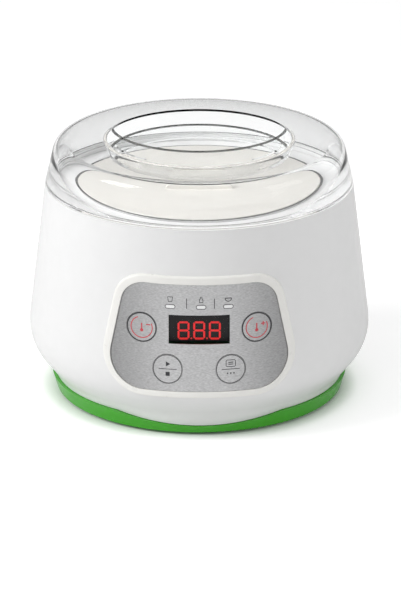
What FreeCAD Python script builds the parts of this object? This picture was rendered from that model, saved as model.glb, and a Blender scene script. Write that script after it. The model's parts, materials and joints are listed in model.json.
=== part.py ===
import FreeCAD, Part
import os
import re
import Sketcher
from FreeCAD import Placement, Rotation, Vector

# Yogurt maker: round two-tone housing with a heated well, steel pot, pot lid, clear outer lid and a
# sloping control panel. Millimetres, origin on the table under the axis, front towards -Y.

SIZES = [
    # outer shell
    ("rim_radius", 98.5), ("rim_height", 138.5), ("wall_slope", 0.1228), ("shell_wall", 2.4),
    ("skirt_inset", 6), ("skirt_top", 12.5), ("skirt_fillet", 14), ("bowl_slope", 0.8), ("belly_fillet", 32),
    ("ledge_inset", 6), ("ledge_drop", 7.4), ("ledge_thick", 2.4),
    # seam between shell and base tray, dipping at the front
    ("seam_side", 11.4), ("seam_front", 6.6), ("seam_half", 52), ("seam_gap", 0.25),
    # base tray and feet
    ("base_low", 1.5), ("base_floor", 2.5), ("base_flare", 2.8), ("tongue_thick", 2), ("tongue_gap", 0.4),
    ("tongue_rise", 4), ("base_edge_fillet", 1.2), ("foot_radius", 7), ("foot_inset", 18), ("foot_sink", 1),
    ("foot_gap", 0.15), ("vent_length", 26), ("vent_width", 3), ("vent_pitch", 8), ("vent_count", 5),
    # screws that pull the liner down on the base
    ("boss_inset", 10), ("boss_radius", 4.6), ("boss_split", 12), ("boss_wall", 2), ("screw_radius", 1.4),
    ("pilot_gap", 0.1), ("screw_length", 16), ("head_radius", 3), ("head_height", 2),
    ("bore_radius", 3.6), ("bore_depth", 5), ("hole_gap", 0.3),
    # inner pot
    ("pot_rim_radius", 80.85), ("pot_rim_width", 7.65), ("pot_taper", 2.2), ("pot_wall", 0.8),
    ("pot_bead_width", 1.6), ("pot_bead_height", 1.9), ("pot_clear", 0.3), ("pot_corner", 9),
    # well liner around the pot
    ("flange_thick", 2.2), ("flange_gap", 0.35), ("well_clear", 2), ("well_taper", 1.2), ("well_wall", 2),
    ("well_floor", 39), ("well_floor_thick", 2.4), ("well_ledge", 18),
    # pot lid, its seal and grip
    ("pot_lid_gap", 0.35), ("pot_lid_thick", 1.6), ("plug_clear", 2), ("plug_wall", 2),
    ("plug_depth", 6), ("seal_low", 2), ("seal_height", 2), ("seal_land", 0.8), ("seal_bite", 0.9),
    ("seal_gap", 0.35), ("grip_length", 44), ("grip_width", 9), ("grip_share", 0.3),
    ("grip_taper", 3), ("grip_sink", 1.2), ("grip_round_share", 0.34),
    # clear outer lid
    ("lid_height", 27.3), ("lid_slope", 0.24), ("lid_wall", 1.8), ("lid_gap", 0.2), ("shoulder_share", 0.33),
    ("mouth_share", 0.599), ("mouth_rise", 1.1), ("dish_slope", 0.289), ("dish_share", 0.33),
    ("mouth_fillet", 0.8), ("dish_fillet", 0.6), ("lip_inset", 3), ("lip_wall", 1.6),
    ("lip_depth", 1.5), ("lip_blend", 0.7),
    # curved ribs in the dish, by which the lid is lifted
    ("rib_share", 0.961), ("rib_off_share", 0.4866), ("rib_thick", 2), ("rib_gap", 0.6),
    # heater under the pot
    ("plate_inset", 12), ("plate_thick", 3), ("plate_gap", 0.6), ("plate_boss_depth", 3),
    ("element_inset", 7.4), ("element_band", 15), ("element_thick", 3), ("element_slot", 6),
    ("clamp_inset", 1.6), ("clamp_band", 23.8), ("clamp_thick", 1.2), ("clamp_screw_inset", 4.4),
    ("clamp_screw_radius", 1.4), ("clamp_head_radius", 2.6), ("clamp_head_height", 1.5),
    ("sensor_radius", 6), ("sensor_height", 5), ("fuse_radius", 2.1), ("fuse_length", 12), ("fuse_at", 19),
    # panel pad: offsets from the shell's upper cone
    ("cone_low", 18), ("cone_high", 126), ("bezel_rise", 2.6), ("panel_rise", 1.7), ("panel_thick", 0.8),
    ("seat_gap", 0.2), ("panel_gap", 0.2), ("window_inset", 2.5), ("reach_spare", 36.5),
    ("panel_top", 104.8), ("panel_low", 37.4), ("panel_top_half", 45.8), ("panel_low_half", 59.9),
    ("panel_top_round", 15), ("panel_low_round", 20), ("bezel_band", 5), ("bezel_grow", 4),
    # push buttons
    ("button_radius", 9.2), ("button_gap", 0.3), ("button_rise", 1.9), ("button_flange", 10.3),
    ("flange_front", 0.6), ("flange_back", 1.4), ("stem_radius", 2.5), ("button_travel", 0.8),
    ("stop_gap", 0.3), ("upper_x", 35.7), ("upper_z", 76.5), ("lower_x", 19.6), ("lower_z", 51.4),
    # display and indicators
    ("display_width", 37.6), ("display_height", 18), ("display_z", 76.6), ("display_rise", 1.55),
    ("display_thick", 1.05), ("display_gap", 0.15), ("module_clear", 0.6), ("module_depth", 8),
    ("carrier_width", 33), ("carrier_height", 14), ("digit_height", 12), ("digit_width", 7.4),
    ("digit_drop", 1.9), ("digit_pitch", 9.7), ("digit_bar", 1.75), ("digit_cut", 0.35), ("digit_thick", 0.3),
    ("point_radius", 0.7), ("lens_z", 91), ("lens_left", 18), ("lens_mid", 1.2), ("lens_width", 5.6),
    ("lens_height", 2), ("lens_gap", 0.12), ("lens_rise", 1.85), ("chip_width", 3.2),
    ("chip_height", 1.6), ("chip_depth", 1.7),
    # control board and tact switches
    ("board_inset", 8.5), ("board_thick", 1.6), ("board_half", 42), ("board_low", 33), ("board_top", 109.5),
    ("post_x", 30), ("post_top", 106), ("post_low", 36.4), ("post_radius", 3), ("board_screw", 1.2),
    ("board_screw_length", 5), ("board_head", 2.6), ("board_head_height", 1.6), ("screw_spare", 0.4),
    ("switch_side", 6), ("switch_depth", 3.8), ("switch_pin", 1.7), ("switch_pin_rise", 1.5),
    # power board in the base
    ("power_z", 13), ("power_half_x", 40), ("power_half_y", 28), ("stand_x", 35), ("stand_y", 23),
    ("stand_radius", 3), ("transformer_x", 28), ("transformer_y", 24), ("transformer_height", 13),
    ("transformer_at", 16), ("relay_x", 19), ("relay_y", 15.4), ("relay_height", 12), ("relay_at", 17),
    ("cap_radius", 5), ("cap_height", 12), ("block_x", 10), ("block_y", 16), ("block_height", 8),
    ("block_inset", 1), ("row_gap", 10),
    # cord bush at the back
    ("bush_z", 45.5), ("bush_bore", 3.3), ("bush_neck", 5.6), ("bush_flange", 8), ("bush_outer", 4.4),
    ("bush_inner", 3), ("bush_settle", 0.32), ("bush_grip", 3.6), ("bush_nut", 7.2), ("bush_gap", 0.2),
    ("bush_throat", 4.2), ("bush_lip", 3.6),
]
DERIVED = [
    ("lean", "sqrt(1 + wall_slope * wall_slope) * shell_wall"),
    ("bowl_lean", "sqrt(1 + bowl_slope * bowl_slope) * shell_wall"),
    ("skirt_radius", "rim_radius - skirt_inset"),
    ("tongue_radius", "skirt_radius - shell_wall - tongue_gap"),
    ("belly_z", "(rim_radius + wall_slope * rim_height - skirt_radius + bowl_slope * skirt_top)"
                " / (wall_slope + bowl_slope)"),
    ("belly_r", "rim_radius + wall_slope * (rim_height - belly_z)"),
    ("belly_in_z", "belly_z + (bowl_lean - lean) / (wall_slope + bowl_slope)"),
    ("belly_in_r", "rim_radius + wall_slope * (rim_height - belly_in_z) - lean"),
    ("pad_reach", "rim_radius + reach_spare"),
    ("ledge_z", "rim_height - ledge_drop"),
    ("flange_top", "ledge_z + flange_thick"),
    ("flange_radius", "rim_radius - lean + wall_slope * (ledge_drop - flange_thick) - flange_gap"),
    ("seam_radius", "(seam_half ^ 2 + (seam_side - seam_front) ^ 2) / (2 * (seam_side - seam_front))"),
    ("floor_top", "base_low + base_floor"),
    ("foot_circle", "skirt_radius - foot_inset"),
    ("pot_radius", "pot_rim_radius - pot_rim_width"),
    ("pot_low_radius", "pot_radius - pot_taper"),
    ("well_radius", "pot_radius + well_clear"),
    ("well_low_radius", "well_radius - well_taper"),
    ("well_hole", "well_low_radius - well_ledge"),
    ("boss_circle", "well_low_radius - boss_inset"),
    ("plate_radius", "well_low_radius - plate_inset"),
    ("plate_boss", "well_hole - plate_gap"),
    ("plate_top", "well_floor + plate_thick"),
    ("plate_low", "well_floor - plate_boss_depth"),
    ("element_outer", "plate_boss - element_inset"),
    ("clamp_outer", "plate_boss - clamp_inset"),
    ("clamp_circle", "plate_boss - clamp_screw_inset"),
    ("clamp_top", "plate_low - element_thick"),
    ("clamp_low", "clamp_top - clamp_thick"),
    ("pot_low", "plate_top + pot_clear"),
    ("pot_lid_low", "flange_top + pot_wall"),
    ("pot_lid_top", "pot_lid_low + pot_lid_thick"),
    ("pot_lid_radius", "pot_rim_radius - pot_bead_width - pot_lid_gap"),
    ("plug_radius", "pot_radius - plug_clear"),
    ("plug_low", "pot_lid_low - plug_depth"),
    ("seal_z", "plug_low + seal_low"),
    ("seal_radius", "pot_radius - pot_wall - seal_gap - pot_taper * plug_depth / (flange_top - pot_low)"),
    ("lid_low", "rim_height + lid_gap"),
    ("lid_top", "lid_low + lid_height"),
    ("dish_depth", "dish_share * lid_height"),
    ("mouth_z", "lid_top + mouth_rise"),
    ("dish_z", "mouth_z - dish_depth"),
    ("mouth_radius", "mouth_share * rim_radius"),
    ("dish_radius", "mouth_radius - dish_slope * dish_depth"),
    ("rib_radius", "rib_share * mouth_radius"),
    ("rib_offset", "rib_off_share * mouth_radius"),
    ("shoulder_fillet", "shoulder_share * lid_height"),
    ("lid_lean", "lid_wall * sqrt(1 + lid_slope * lid_slope)"),
    ("shoulder_r", "rim_radius - lid_slope * lid_height"),
    ("shoulder_in", "shoulder_r + lid_slope * lid_wall - lid_lean"),
    ("lip_radius", "rim_radius - lip_inset"),
    ("grip_height", "grip_share * (dish_z - lid_wall - pot_lid_top)"),
    ("grip_top", "pot_lid_top + grip_height"),
    ("panel_back", "panel_rise - panel_thick"),
    ("board_front", "rim_radius - board_inset"),
    ("board_back", "board_front - board_thick"),
    ("window_back", "rim_radius + wall_slope * (rim_height - display_z - display_height / 2)"
                    " + display_rise - display_thick"),
    ("module_front", "sqrt(window_back ^ 2 - display_width ^ 2 / 4) - module_clear"),
    ("module_back", "module_front - module_depth"),
    ("digit_z", "display_z - digit_drop"),
    ("switch_tip", "board_front + switch_depth + switch_pin_rise"),
    ("stem_tip", "switch_tip + button_travel + stop_gap"),
    ("power_top", "power_z + board_thick"),
    ("shank_length", "board_screw_length - screw_spare"),
    ("bush_seat", "rim_radius + wall_slope * (rim_height - bush_z) - bush_settle"),
    ("bush_back", "bush_seat - bush_grip"),
]

doc = FreeCAD.newDocument("yogurt_maker")
sheet = doc.addObject("Spreadsheet::Sheet", "dims")
for row, (alias, value) in enumerate(SIZES + DERIVED, 1):
    sheet.set("A%d" % row, alias)
    sheet.set("B%d" % row, ("=" + value) if isinstance(value, str) else str(value))
    sheet.setAlias("B%d" % row, alias)
doc.recompute()
ALIASES = {alias for alias, _ in SIZES + DERIVED}


def ex(text):
    """Expression text with every size name pointed at the sheet."""
    return re.sub(r"[a-z][a-z0-9_]*", lambda m: "dims." + m[0] if m[0] in ALIASES else m[0], str(text))


def num(text):
    return float(sheet.evalExpression(ex(text)))


def bind(obj, **paths):
    for path, text in paths.items():
        obj.setExpression(path.replace("__", "."), ex(text))
    return obj


def new(kind, label):
    obj = doc.addObject(kind, label)
    obj.Label = label
    return obj


def origin(body, role):
    return next(o for o in body.Origin.OriginFeatures if o.Role == role)


def sketch(body, plane, points):
    """Closed polygon whose corners are bound to the sheet."""
    sk = body.newObject("Sketcher::SketchObject", body.Name + "_sketch")
    sk.AttachmentSupport = [(origin(body, plane), "")]
    sk.MapMode = "FlatFace"
    spots = [Vector(num(x), num(y), 0) for x, y in points]
    count = len(spots)
    for i, spot in enumerate(spots):
        sk.addGeometry(Part.LineSegment(spot, spots[(i + 1) % count]), False)
    for i in range(count):
        sk.addConstraint(Sketcher.Constraint("Coincident", i, 2, (i + 1) % count, 1))
    for i, texts in enumerate(points):
        for kind, text, value in zip(("DistanceX", "DistanceY"), texts, spots[i]):
            if value < 0:
                rule, text = Sketcher.Constraint(kind, i, 1, -1, 1, -value), "-(%s)" % text
            else:
                rule = Sketcher.Constraint(kind, -1, 1, i, 1, value)
            sk.setExpression("Constraints[%d]" % sk.addConstraint(rule), ex(text))
    return sk


def feature(body, kind, sk, **paths):
    feat = body.newObject("PartDesign::" + kind, body.Name + "_" + kind.lower())
    feat.Profile = sk
    if kind in ("Revolution", "Groove"):
        feat.ReferenceAxis = (origin(body, "Z_Axis"), [""])
        feat.Angle = 360
    body.Tip = bind(feat, **paths)
    return feat


def turned(label, points):
    """Body of revolution about Z from an (r, z) profile."""
    body = new("PartDesign::Body", label)
    feature(body, "Revolution", sketch(body, "XZ_Plane", points))
    doc.recompute()
    return body


def prism(label, points, reach="pad_reach"):
    """Outline in X and Z drawn out from the axis towards the front."""
    body = new("PartDesign::Body", label)
    feature(body, "Pad", sketch(body, "XZ_Plane", points), Length=reach)
    doc.recompute()
    return body


def rounded(body, radius, wanted):
    """Fillet on the tip's edges that wanted() accepts."""
    base = body.Tip
    names = ["Edge%d" % i for i, edge in enumerate(base.Shape.Edges, 1) if wanted(edge)]
    feat = body.newObject("PartDesign::Fillet", body.Name + "_fillet")
    feat.Base = (base, names)
    body.Tip = bind(feat, Radius=radius)
    doc.recompute()
    return body


def ring(radius, height):
    r, z = num(radius), num(height)

    def wanted(edge):
        curve = edge.Curve
        return (isinstance(curve, Part.Circle) and abs(curve.Radius - r) < 0.01
                and abs(curve.Center.z - z) < 0.01)
    return wanted


def corner(half, height):
    x, z = num(half), num(height)

    def wanted(edge):
        ends = [v.Point for v in edge.Vertexes]
        return all(abs(abs(p.x) - x) < 0.01 and abs(p.z - z) < 0.01 for p in ends)
    return wanted


def box(label, low, size):
    obj = new("Part::Box", label)
    bind(obj, Length=size[0], Width=size[1], Height=size[2])
    return bind(obj, Placement__Base__x=low[0], Placement__Base__y=low[1], Placement__Base__z=low[2])


def rod(label, radius, length, foot, axis="Z"):
    """Cylinder from foot along +Z, or towards the front (-Y) for axis F, or along +X for axis X."""
    obj = new("Part::Cylinder", label)
    turns = {"Z": Rotation(), "F": Rotation(Vector(1, 0, 0), 90), "X": Rotation(Vector(0, 1, 0), 90)}
    obj.Placement = Placement(Vector(), turns[axis])
    bind(obj, Radius=radius, Height=length)
    return bind(obj, Placement__Base__x=foot[0], Placement__Base__y=foot[1], Placement__Base__z=foot[2])


def cut(label, base, *tools):
    obj = new("Part::Cut", label)
    obj.Base = base
    obj.Tool = tools[0] if len(tools) == 1 else joined(label + "_tools", *tools)
    return obj


def joined(label, *shapes):
    obj = new("Part::MultiFuse", label)
    obj.Shapes = list(shapes)
    return obj


def common(label, *shapes):
    obj = new("Part::MultiCommon", label)
    obj.Shapes = list(shapes)
    return obj


def group(label, shapes):
    obj = new("Part::Compound", label)
    obj.Links = list(shapes)
    return obj


def cone(label, offset):
    """Solid inside the shell's upper cone, grown by offset and carried straight on down."""
    obj = new("Part::Cone", label)
    base = "rim_radius + wall_slope * (rim_height - %s) + (%s)"
    bind(obj, Radius1=base % ("cone_low", offset), Radius2=base % ("cone_high", offset))
    return bind(obj, Height="cone_high - cone_low", Placement__Base__z="cone_low")


QUARTERS = [(45 + 90 * i) for i in range(4)]
BUTTONS = {"button_minus": ("-upper_x", "upper_z"), "button_plus": ("upper_x", "upper_z"),
           "button_start": ("-lower_x", "lower_z"), "button_menu": ("lower_x", "lower_z")}
LENSES = ["-lens_left", "lens_mid", "lens_left"]
POSTS = [(x, z) for x in ("-post_x", "post_x") for z in ("post_low", "post_top")]
STANDS = [(x, y) for x in ("-stand_x", "stand_x") for y in ("-stand_y", "stand_y")]


def around(radius, angle):
    return "%s * cos(%d)" % (radius, angle), "%s * sin(%d)" % (radius, angle)


# filled outline of the shell, also the back of everything that sits on its face
def shell_fill(label, grow):
    body = turned(label, [
        ("0", "rim_height"), ("rim_radius + %s" % grow, "rim_height"),
        ("belly_r + %s" % grow, "belly_z"), ("skirt_radius + %s" % grow, "skirt_top"),
        ("skirt_radius + %s" % grow, "seam_front"), ("0", "seam_front")])
    rounded(body, "belly_fillet", ring("belly_r + %s" % grow, "belly_z"))
    return rounded(body, "skirt_fillet", ring("skirt_radius + %s" % grow, "skirt_top"))


fill = shell_fill("shell_outline", "0")
hollow = turned("shell_hollow", [
    ("0", "rim_height + 1"), ("rim_radius - lean - wall_slope", "rim_height + 1"),
    ("rim_radius - lean + wall_slope * ledge_drop", "ledge_z"), ("rim_radius - ledge_inset", "ledge_z"),
    ("rim_radius - ledge_inset", "ledge_z - ledge_thick"),
    ("rim_radius - lean + wall_slope * (ledge_drop + ledge_thick)", "ledge_z - ledge_thick"),
    ("belly_in_r", "belly_in_z"),
    ("skirt_radius - shell_wall", "skirt_top + (bowl_lean - shell_wall) / bowl_slope"),
    ("skirt_radius - shell_wall", "seam_front - 1"), ("0", "seam_front - 1")])
rounded(hollow, "belly_fillet - shell_wall", ring("belly_in_r", "belly_in_z"))


def dip(label, drop):
    """Round bar whose underside is the front dip of the seam."""
    return rod(label, "seam_radius", "pad_reach", ("0", "0", "seam_front + seam_radius - (%s)" % drop), "F")


below_seam = cut("below_seam", box("seam_slab", ("-pad_reach", "-pad_reach", "-pad_reach"),
                                   ("2 * pad_reach", "2 * pad_reach", "seam_side + pad_reach")),
                 dip("seam_dip", "0"))


def outline(label, grow, low, top, reach="pad_reach"):
    """Rounded trapezium of the control panel, grown sideways."""
    slope = "(panel_low_half - panel_top_half) / (panel_top - panel_low)"
    low_half = "panel_low_half + (%s) + %s * (panel_low - (%s))" % (grow, slope, low)
    top_half = "panel_top_half + (%s) - %s * ((%s) - panel_top)" % (grow, slope, top)
    body = prism(label, [("-(%s)" % low_half, low), (low_half, low), (top_half, top),
                         ("-(%s)" % top_half, top)], reach)
    rounded(body, "panel_low_round + (%s)" % grow, corner(low_half, low))
    return rounded(body, "panel_top_round + (%s)" % grow, corner(top_half, top))


bezel_pad = outline("bezel_pad", "bezel_band", "panel_low - bezel_grow", "panel_top + bezel_band")
recess_pad = outline("recess_pad", "panel_gap", "panel_low - panel_gap", "panel_top + panel_gap")
panel_pad = outline("panel_pad", "0", "panel_low", "panel_top")
window_pad = outline("window_pad", "-window_inset", "panel_low + window_inset", "panel_top - window_inset")
back_cone = cone("panel_back_cone", "panel_back")

post_rods = [rod("post_%d" % i, "post_radius", "pad_reach", (x, "-board_front", z), "F")
             for i, (x, z) in enumerate(POSTS)]
posts = common("board_posts", joined("post_rods", *post_rods), shell_fill("mid_wall", "(0 - shell_wall / 2)"))
pilots = [rod("pilot_%d" % i, "board_screw + pilot_gap", "board_screw_length",
              (x, "-board_back", z), "F") for i, (x, z) in enumerate(POSTS)]
bush_hole = rod("bush_hole", "bush_neck + bush_gap", "pad_reach", ("0", "pad_reach", "bush_z"), "F")
walls = cut("shell_walls", fill, hollow, below_seam, window_pad, bush_hole)
outer_shell = cut("outer_shell", joined("shell_and_posts", walls, posts), *pilots)

# base tray: green rim that follows the seam, floor, tongue inside the shell, bosses and stands
rim = turned("base_rim", [
    ("tongue_radius", "base_low"), ("skirt_radius", "base_low"),
    ("skirt_radius + base_flare", "seam_side - seam_gap"),
    ("tongue_radius", "seam_side - seam_gap")])
rounded(rim, "base_edge_fillet", ring("skirt_radius", "base_low"))
rim_cut = cut("base_rim_cut", rim, cut("dip_above", dip("dip_gap", "seam_gap"), rod(
    "dip_core", "tongue_radius", "pad_reach", ("0", "0", "0"))))
tray = turned("base_floor_ring", [
    ("0", "base_low"), ("tongue_radius", "base_low"),
    ("tongue_radius", "seam_side + tongue_rise"),
    ("tongue_radius - tongue_thick", "seam_side + tongue_rise"),
    ("tongue_radius - tongue_thick", "floor_top"), ("0", "floor_top")])
base_posts, base_holes, foot_holes, feet_list = [], [], [], []
screw_list, liner_posts, liner_holes = [], [], []
for i, angle in enumerate(QUARTERS):
    x, y = around("boss_circle", angle)
    base_posts.append(rod("base_boss_%d" % i, "bore_radius + boss_wall", "boss_split - base_low",
                          (x, y, "base_low")))
    base_holes.append(rod("base_hole_%d" % i, "screw_radius + hole_gap", "boss_split", (x, y, "0")))
    base_holes.append(rod("base_bore_%d" % i, "bore_radius", "bore_depth + base_low", (x, y, "0")))
    screw_list.append(joined("base_screw_%d" % i, rod(
        "base_shank_%d" % i, "screw_radius", "screw_length", (x, y, "base_low + bore_depth")), rod(
        "base_head_%d" % i, "head_radius", "head_height", (x, y, "base_low + bore_depth - head_height"))))
    liner_posts.append(rod("liner_boss_%d" % i, "boss_radius", "well_floor - boss_split - 1",
                           (x, y, "boss_split")))
    liner_holes.append(rod("liner_hole_%d" % i, "screw_radius + pilot_gap", "screw_length",
                           (x, y, "boss_split - 1")))
    x, y = around("foot_circle", angle - 45)
    foot_holes.append(rod("foot_hole_%d" % i, "foot_radius + foot_gap", "base_low + foot_sink", (x, y, "0")))
    feet_list.append(rod("foot_%d" % i, "foot_radius", "base_low + foot_sink", (x, y, "0")))
stands = [rod("stand_%d" % i, "stand_radius", "power_z - base_low", (x, y, "base_low"))
          for i, (x, y) in enumerate(STANDS)]
stand_holes = [rod("stand_hole_%d" % i, "board_screw + pilot_gap", "board_screw_length",
                   (x, y, "power_top - board_screw_length")) for i, (x, y) in enumerate(STANDS)]
vents = [box("vent_%d" % i, (
    "-vent_length / 2", "(%d - (vent_count - 1) / 2) * vent_pitch - vent_width / 2" % i, "0"),
    ("vent_length", "vent_width", "floor_top + 1")) for i in range(int(num("vent_count")))]
base_tray = cut("base_tray", joined("base_solid", rim_cut, tray, *base_posts, *stands),
                *base_holes, *foot_holes, *stand_holes, *vents)
feet = group("feet", feet_list)
base_screws = group("base_screws", screw_list)

# well liner: ledge, tub and four long bosses
liner = turned("liner_tub", [
    ("well_radius", "flange_top"), ("flange_radius", "flange_top"), ("flange_radius", "ledge_z"),
    ("well_radius + well_wall", "ledge_z"), ("well_low_radius + well_wall", "well_floor - well_floor_thick"),
    ("well_hole", "well_floor - well_floor_thick"), ("well_hole", "well_floor"),
    ("well_low_radius", "well_floor")])
well_liner = cut("well_liner", joined("liner_solid", liner, *liner_posts), *liner_holes)

# heater under the pot
heater_plate = turned("heater_plate", [
    ("0", "plate_top"), ("plate_radius", "plate_top"), ("plate_radius", "well_floor"),
    ("plate_boss", "well_floor"), ("plate_boss", "plate_low"), ("0", "plate_low")])
element_ring = turned("element_ring", [
    ("element_outer - element_band", "clamp_top"), ("element_outer", "clamp_top"),
    ("element_outer", "plate_low"), ("element_outer - element_band", "plate_low")])
heating_element = cut("heating_element", element_ring, box(
    "element_gap", ("0", "-element_slot / 2", "clamp_top - 1"),
    ("pad_reach", "element_slot", "element_thick + 2")))
clamp_ring = turned("clamp_ring", [
    ("clamp_outer - clamp_band", "clamp_low"), ("clamp_outer", "clamp_low"),
    ("clamp_outer", "clamp_top"), ("clamp_outer - clamp_band", "clamp_top")])
clamp_holes, clamp_list = [], []
for i in range(3):
    x, y = around("clamp_circle", 90 + 120 * i)
    clamp_holes.append(rod("clamp_hole_%d" % i, "clamp_screw_radius + pilot_gap", "clamp_thick + 2",
                           (x, y, "clamp_low - 1")))
    clamp_list.append(joined("clamp_screw_%d" % i, rod(
        "clamp_shank_%d" % i, "clamp_screw_radius", "clamp_thick + element_thick", (x, y, "clamp_low")), rod(
        "clamp_head_%d" % i, "clamp_head_radius", "clamp_head_height",
        (x, y, "clamp_low - clamp_head_height"))))
heater_clamp = cut("heater_clamp", clamp_ring, *clamp_holes)
clamp_screws = group("clamp_screws", clamp_list)
temperature_sensor = rod("temperature_sensor", "sensor_radius", "sensor_height",
                         ("0", "0", "plate_low - sensor_height"))
thermal_fuse = rod("thermal_fuse", "fuse_radius", "fuse_length",
                   ("-fuse_length / 2", "fuse_at", "plate_low - fuse_radius"), "X")

# inner pot, pot lid and seal
inner_pot = turned("inner_pot", [
    ("0", "pot_low"), ("pot_low_radius", "pot_low"), ("pot_radius", "flange_top"),
    ("pot_rim_radius", "flange_top"), ("pot_rim_radius", "flange_top + pot_bead_height"),
    ("pot_rim_radius - pot_bead_width", "flange_top + pot_bead_height"),
    ("pot_rim_radius - pot_bead_width", "pot_lid_low"), ("pot_radius - pot_wall", "pot_lid_low"),
    ("pot_low_radius - pot_wall", "pot_low + pot_wall"), ("0", "pot_low + pot_wall")])
rounded(inner_pot, "pot_corner", ring("pot_low_radius", "pot_low"))
rounded(inner_pot, "pot_corner - pot_wall", ring("pot_low_radius - pot_wall", "pot_low + pot_wall"))
lid_disc = turned("pot_lid_disc", [
    ("0", "pot_lid_low"), ("plug_radius - plug_wall", "pot_lid_low"), ("plug_radius - plug_wall", "plug_low"),
    ("plug_radius", "plug_low"), ("plug_radius", "seal_z"), ("plug_radius - seal_bite", "seal_z"),
    ("plug_radius - seal_bite", "seal_z + seal_height"), ("plug_radius", "seal_z + seal_height"),
    ("plug_radius", "pot_lid_low"), ("pot_lid_radius", "pot_lid_low"), ("pot_lid_radius", "pot_lid_top"),
    ("0", "pot_lid_top")])
rounded(lid_disc, "pot_lid_thick / 2", ring("pot_lid_radius", "pot_lid_top"))
grip = prism("grip_bar", [
    ("-grip_length / 2", "pot_lid_top - grip_sink"), ("grip_length / 2", "pot_lid_top - grip_sink"),
    ("grip_length / 2 - grip_taper", "grip_top"), ("-grip_length / 2 + grip_taper", "grip_top")],
    "grip_width")
bind(grip, Placement__Base__y="grip_width / 2")
rounded(grip, "grip_round_share * grip_height",
        lambda e: min(v.Point.z for v in e.Vertexes) > num("grip_top") - 0.01)
pot_lid = joined("pot_lid", lid_disc, grip)
pot_lid_seal = turned("pot_lid_seal", [
    ("plug_radius - seal_bite", "seal_z"), ("seal_radius", "seal_z + (seal_height - seal_land) / 2"),
    ("seal_radius", "seal_z + (seal_height + seal_land) / 2"),
    ("plug_radius - seal_bite", "seal_z + seal_height")])

# clear outer lid with a dish in its top
outer_lid = turned("outer_lid", [
    ("0", "dish_z"), ("dish_radius", "dish_z"), ("mouth_radius", "mouth_z"), ("shoulder_r", "lid_top"),
    ("rim_radius", "lid_low"), ("lip_radius", "lid_low"), ("lip_radius", "lid_low - lip_depth"),
    ("lip_radius - lip_wall", "lid_low - lip_depth"), ("lip_radius - lip_wall", "lid_low + lip_blend"),
    ("rim_radius - lid_lean - lid_slope * lip_blend * 2", "lid_low + lip_blend * 2"),
    ("shoulder_in", "lid_top - lid_wall"), ("mouth_radius + lid_wall", "mouth_z - lid_wall"),
    ("dish_radius + lid_wall", "dish_z - lid_wall"), ("0", "dish_z - lid_wall")])
rounded(outer_lid, "shoulder_fillet", ring("shoulder_r", "lid_top"))
rounded(outer_lid, "shoulder_fillet - lid_wall", ring("shoulder_in", "lid_top - lid_wall"))
rounded(outer_lid, "mouth_fillet", ring("mouth_radius", "mouth_z"))
rounded(outer_lid, "dish_fillet", ring("dish_radius", "dish_z"))
rounded(outer_lid, "mouth_fillet", ring("mouth_radius + lid_wall", "mouth_z - lid_wall"))
rounded(outer_lid, "dish_fillet + lid_wall", ring("dish_radius + lid_wall", "dish_z - lid_wall"))



def rib(label, side):
    """Upright rib in the dish: part of a tube whose axis stands off the lid's middle."""
    spot = ("0", side + "rib_offset", "dish_z")
    return cut(label, rod(label + "_outside", "rib_radius + rib_thick / 2", "dish_depth", spot),
               rod(label + "_inside", "rib_radius - rib_thick / 2", "dish_depth", spot))


dish_room = turned("dish_room", [
    ("0", "dish_z"), ("dish_radius - rib_gap", "dish_z"), ("mouth_radius - rib_gap", "mouth_z"),
    ("0", "mouth_z")])
lid_grip = common("lid_grip", joined("grip_ribs", rib("front_rib", ""), rib("back_rib", "-")), dish_room)

# control panel in its bezel
bezel_block = common("bezel_block", bezel_pad, cone("bezel_cone", "bezel_rise"))
panel_bezel = cut("panel_bezel", bezel_block, shell_fill("shell_seat", "seat_gap"),
                  cut("panel_recess", recess_pad, back_cone), window_pad)
panel_holes = [rod("hole_" + name, "button_radius + button_gap", "pad_reach", (x, "0", z), "F")
               for name, (x, z) in BUTTONS.items()]


def plate(label, width, height, x, z, grow):
    """Upright rectangular bar towards the front, used for holes and for what fills them."""
    return box(label, ("%s - (%s) / 2 - (%s)" % (x, width, grow), "-pad_reach",
                       "%s - (%s) / 2 - (%s)" % (z, height, grow)),
               ("%s + 2 * (%s)" % (width, grow), "pad_reach", "%s + 2 * (%s)" % (height, grow)))


def pill(label, x, grow):
    ends = [rod("%s_end_%d" % (label, i), "lens_height / 2 + %s" % grow, "pad_reach",
                ("%s %s (lens_width - lens_height) / 2" % (x, sign), "0", "lens_z"), "F")
            for i, sign in enumerate("+-")]
    return joined(label, plate(label + "_mid", "lens_width - lens_height", "lens_height + 2 * (%s)" % grow,
                               x, "lens_z", "0"), *ends)


lens_holes = [pill("lens_hole_%d" % i, x, "lens_gap") for i, x in enumerate(LENSES)]
control_panel = cut("control_panel", common("panel_block", panel_pad, cone("panel_cone", "panel_rise")),
                    back_cone, *panel_holes, *lens_holes,
                    plate("display_hole", "display_width", "display_height", "0", "display_z", "display_gap"))
display_window = cut("display_window", common(
    "window_block", plate("window_bar", "display_width", "display_height", "0", "display_z", "0"),
    cone("window_cone", "display_rise")), cone("window_back", "display_rise - display_thick"))
behind = box("behind_chips", ("-pad_reach", "-board_front - chip_depth - stop_gap", "0"),
             ("2 * pad_reach", "2 * pad_reach", "pad_reach"))
indicator_lenses = group("indicator_lenses", [
    cut("lens_%d" % i, common("lens_block_%d" % i, pill("lens_bar_%d" % i, x, "0"),
                              cone("lens_cone_%d" % i, "lens_rise")), behind) for i, x in enumerate(LENSES)])

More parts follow.
